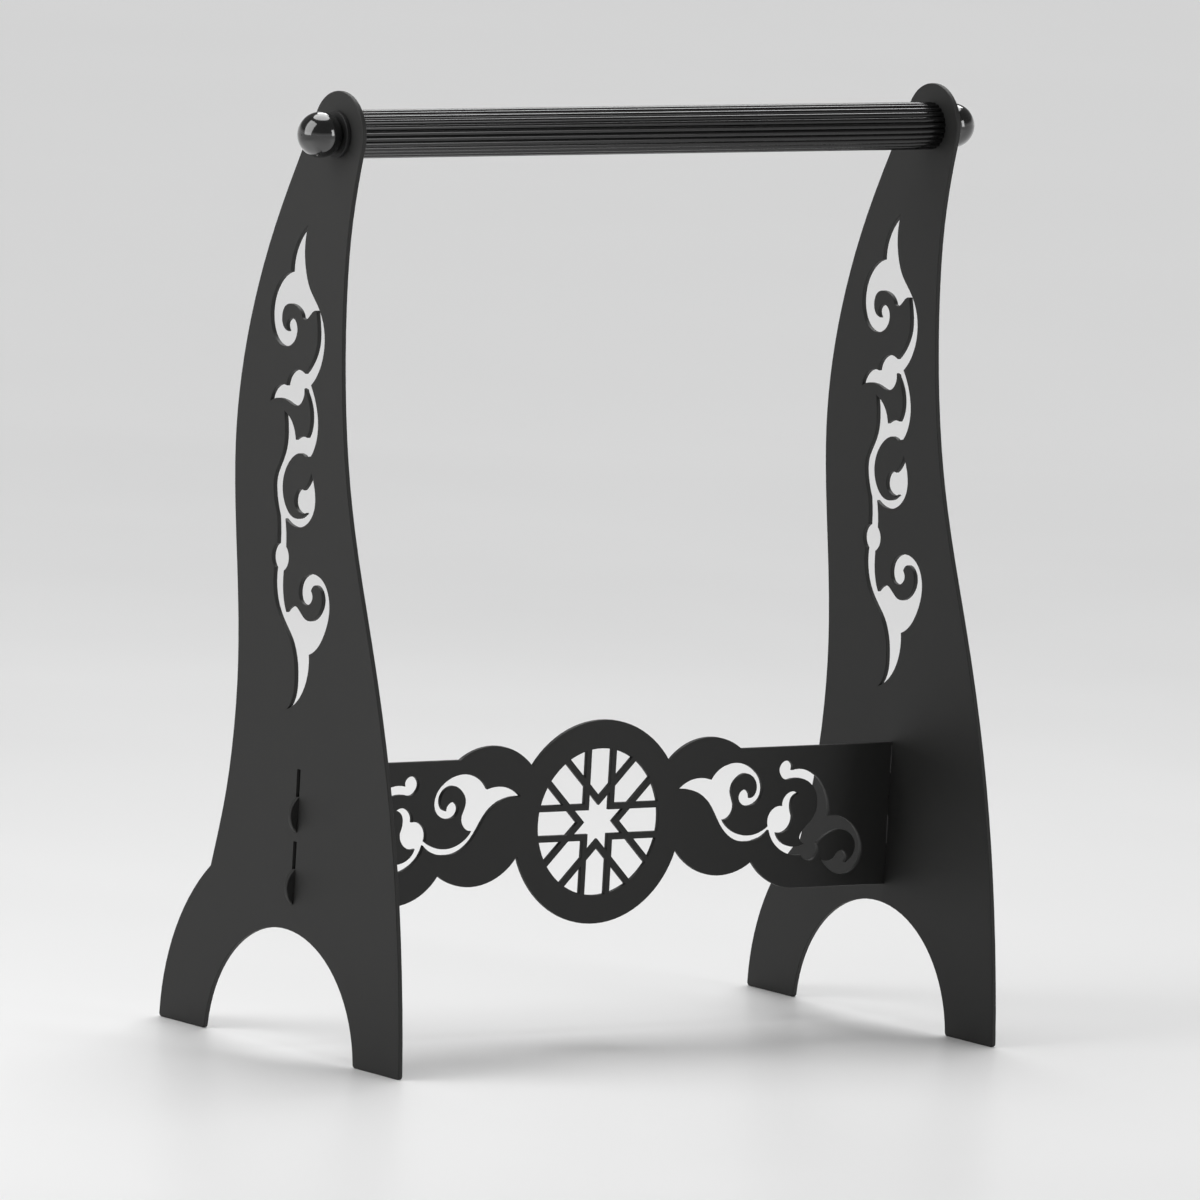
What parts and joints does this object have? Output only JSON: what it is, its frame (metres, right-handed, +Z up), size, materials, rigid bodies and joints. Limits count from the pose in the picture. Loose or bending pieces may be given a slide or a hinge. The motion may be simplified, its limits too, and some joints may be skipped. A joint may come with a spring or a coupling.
{
  "type": "freestanding towel stand",
  "caption": "Small freestanding towel stand: pierced sheet side panels on arched feet, a pierced crossbar with a star lattice, and a reeded towel rod held by ball knobs.",
  "frame": {"origin": "on the floor, midway between the side panels and midway between the front and rear feet", "axes": "+X to the right seen from the front, +Y to the back, +Z up"},
  "size_m": [0.3266, 0.1647, 0.3783],
  "materials": {
    "panel_coat": "matte black powder coat with a fine grain",
    "rod_coat": "satin black over aluminium tube",
    "knob_gloss": "polished black",
    "washer_nylon": "black nylon",
    "plug_brass": "turned",
    "stud_steel": "bright"
  },
  "bodies": {
    "stand": {"left_side_panel": "panel_coat", "right_side_panel": "panel_coat", "crossbar": "panel_coat", "towel_rod": "rod_coat", "left_rod_plug": "plug_brass", "right_rod_plug": "plug_brass", "left_stud": "stud_steel", "right_stud": "stud_steel", "left_washer": "washer_nylon", "right_washer": "washer_nylon"},
    "left_knob": {"left_ball_knob": "knob_gloss"},
    "right_knob": {"right_ball_knob": "knob_gloss"}
  },
  "joints": [
    {"name": "left_knob_turn", "type": "hinge", "parent": "stand", "child": "left_knob", "pos_m": [-0.1543, -0.0076, 0.3613], "axis": [-1, 0, 0], "range_deg": [0, 4050]},
    {"name": "right_knob_turn", "type": "hinge", "parent": "stand", "child": "right_knob", "pos_m": [0.1543, -0.0076, 0.3613], "axis": [1, 0, 0], "range_deg": [0, 4050]}
  ]
}
